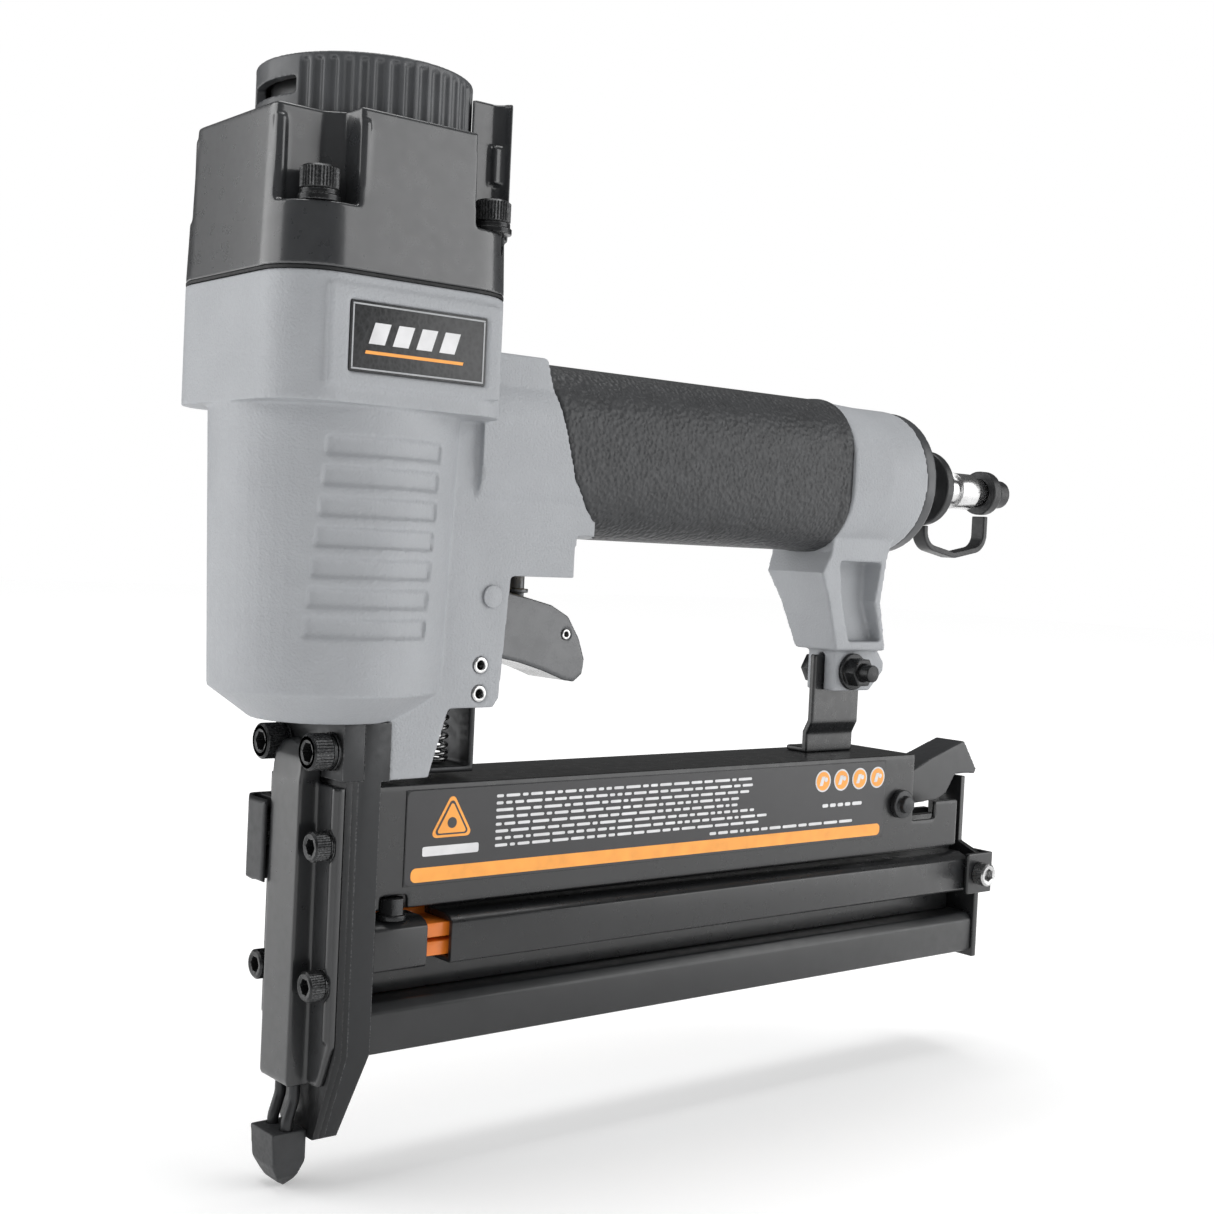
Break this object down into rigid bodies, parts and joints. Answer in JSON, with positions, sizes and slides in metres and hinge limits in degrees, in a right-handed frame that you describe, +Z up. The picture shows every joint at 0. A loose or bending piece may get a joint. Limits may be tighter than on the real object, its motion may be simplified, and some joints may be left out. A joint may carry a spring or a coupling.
{
  "type": "pneumatic nail gun",
  "caption": "Pneumatic brad nailer: cylinder head with fluted exhaust deflector, rubber grip with air plug, trigger, side-loading fastener magazine with pusher, and a narrow driver nose.",
  "frame": {"origin": "centre of the driver channel at the nose's end face, where the fastener leaves", "axes": "+Z up along the driver towards the cylinder cap; +X back towards the handle's end and the air inlet; +Y the tool's right-hand side for a user who looks along the handle towards the nose"},
  "size_m": [0.2734, 0.0606, 0.2582],
  "materials": {
    "housing_paint": "light grey powder coat with a fine sand texture on an aluminium casting",
    "pin_paint": "steel pin painted with the casting",
    "grip_rubber": "dark grey rubber with a moulded leather texture",
    "end_cap_paint": "dark grey paint",
    "cap_paint": "satin dark grey paint, glossy on the rounded corners",
    "deflector_plastic": "dark grey moulded plastic, fluted",
    "filter_mesh": "black wire gauze",
    "gasket": "black fibre-rubber sheet",
    "black_screw": "black oxide",
    "cylinder_alloy": "hard anodised",
    "seal_rubber": "black nitrile",
    "hardened_steel": "ground",
    "valve_plastic": "natural acetal",
    "spring_steel": "bare spring steel",
    "trigger_paint": "satin mid grey paint",
    "trigger_steel": "bright steel",
    "valve_brass": "turned brass",
    "valve_steel": "dark steel with a fine thread",
    "nose_steel": "black oxide on steel, worn bright at the edges",
    "plate_steel": "black oxide on steel plate",
    "cover_steel": "smooth dark grey phosphate",
    "safety_steel": "black oxide",
    "tip_plastic": "soft dark grey plastic",
    "magazine_enamel": "black satin enamel on formed sheet",
    "rail_enamel": "black satin enamel on an aluminium extrusion",
    "name_plate": null,
    "end_hardware": "zinc plated",
    "pusher_orange": "orange moulded plastic",
    "bracket_steel": "black satin spring steel",
    "latch_paint": "satin grey-black enamel",
    "latch_bolt_steel": "black oxide",
    "plug_chrome": "polished nickel plate",
    "plug_rubber": "black rubber"
  },
  "bodies": {
    "tool_body": {"main_housing": "housing_paint", "grip_sleeve": "grip_rubber", "end_cap": "end_cap_paint", "cylinder_cap": "cap_paint", "cap_gasket": "gasket", "cap_screws": "black_screw", "screw_washers": "black_screw", "cylinder_sleeve": "cylinder_alloy", "sleeve_seals": "seal_rubber", "bumper": "seal_rubber", "head_valve_spring": "spring_steel", "trigger_pivot_pin": "pin_paint", "trigger_spring": "spring_steel", "roll_pins": "trigger_steel", "valve_body": "valve_brass", "valve_spring": "spring_steel", "nose_front_plate": "plate_steel", "nose_guide_plate": "plate_steel", "nose_body": "nose_steel", "nose_adapter": "nose_steel", "nose_cover": "cover_steel", "nose_bolts_lower": "black_screw", "nose_bolts_upper": "black_screw", "safety_spring": "spring_steel", "magazine_cover": "magazine_enamel", "name_plates": "name_plate", "front_guides": "magazine_enamel", "guide_nuts": "black_screw", "magazine_bracket": "bracket_steel", "bracket_fasteners": "black_screw", "latch_pivot_bolt": "latch_bolt_steel", "air_plug": "plug_chrome", "plug_ring": "plug_rubber", "cap_strap": "plug_rubber"},
    "exhaust": {"exhaust_deflector": "deflector_plastic", "deflector_screw": "black_screw", "deflector_filter": "filter_mesh"},
    "piston_assembly": {"piston": "cylinder_alloy", "piston_ring": "seal_rubber", "driver_blade": "hardened_steel"},
    "head_valve": {"head_valve": "valve_plastic"},
    "trigger": {"trigger": "trigger_paint", "trigger_arm": "trigger_steel", "trigger_arm_pin": "trigger_steel"},
    "valve_stem": {"valve_stem": "valve_steel"},
    "safety": {"safety_wire": "safety_steel", "no_mar_tip": "tip_plastic", "safety_link": "safety_steel", "safety_yoke": "safety_steel"},
    "latch": {"latch_lever": "latch_paint"},
    "magazine": {"magazine_track": "magazine_enamel", "side_rails": "magazine_enamel", "bottom_rail": "rail_enamel", "rear_end_plate": "magazine_enamel", "end_clamps": "magazine_enamel", "end_screws": "end_hardware", "track_rivet": "end_hardware", "pusher_spring": "spring_steel"},
    "pusher": {"pusher": "pusher_orange"},
    "dust_cap": {"dust_cap": "plug_rubber"}
  },
  "joints": [
    {"name": "deflector_spin", "type": "hinge", "parent": "tool_body", "child": "exhaust", "pos_m": [0.0045, 0, 0.237], "axis": [0, 0, 1], "continuous": true},
    {"name": "piston_stroke", "type": "slide", "parent": "tool_body", "child": "piston_assembly", "axis": [0, 0, -1], "range_m": [0, 0.074]},
    {"name": "head_valve_lift", "type": "slide", "parent": "tool_body", "child": "head_valve", "axis": [0, 0, 1], "range_m": [0, 0.003], "stiffness_N_per_m": 600, "springref_m": -0.012, "deforming": ["head_valve_spring"]},
    {"name": "trigger_pull", "type": "hinge", "parent": "tool_body", "child": "trigger", "pos_m": [0.0358, 0, 0.1264], "axis": [0, -1, 0], "range_deg": [0, 10], "stiffness_Nm_per_rad": 0.25, "springref_deg": -20.05, "deforming": ["trigger_spring"]},
    {"name": "valve_stem_slide", "type": "slide", "parent": "tool_body", "child": "valve_stem", "axis": [0, 0, 1], "range_m": [0, 0.0031], "deforming": ["valve_spring"]},
    {"name": "safety_lift", "type": "slide", "parent": "tool_body", "child": "safety", "axis": [0, 0, 1], "range_m": [0, 0.0065], "stiffness_N_per_m": 500, "springref_m": -0.016, "deforming": ["safety_spring"]},
    {"name": "latch_lift", "type": "hinge", "parent": "tool_body", "child": "latch", "pos_m": [0.188, 0, 0.0676], "axis": [0, -1, 0], "range_deg": [0, 25], "stiffness_Nm_per_rad": 0.2, "springref_deg": -22.92},
    {"name": "magazine_slide", "type": "slide", "parent": "tool_body", "child": "magazine", "axis": [1, 0, 0], "range_m": [0, 0.11]},
    {"name": "pusher_slide", "type": "slide", "parent": "magazine", "child": "pusher", "axis": [1, 0, 0], "range_m": [0, 0.1], "stiffness_N_per_m": 60, "springref_m": -0.12},
    {"name": "dust_cap_pull", "type": "slide", "parent": "tool_body", "child": "dust_cap", "axis": [1, 0, 0], "range_m": [0, 0.006]}
  ],
  "couplings": [
    {"joint": "valve_stem_slide", "follows": "trigger_pull", "m_per_rad": 0.017189}
  ]
}
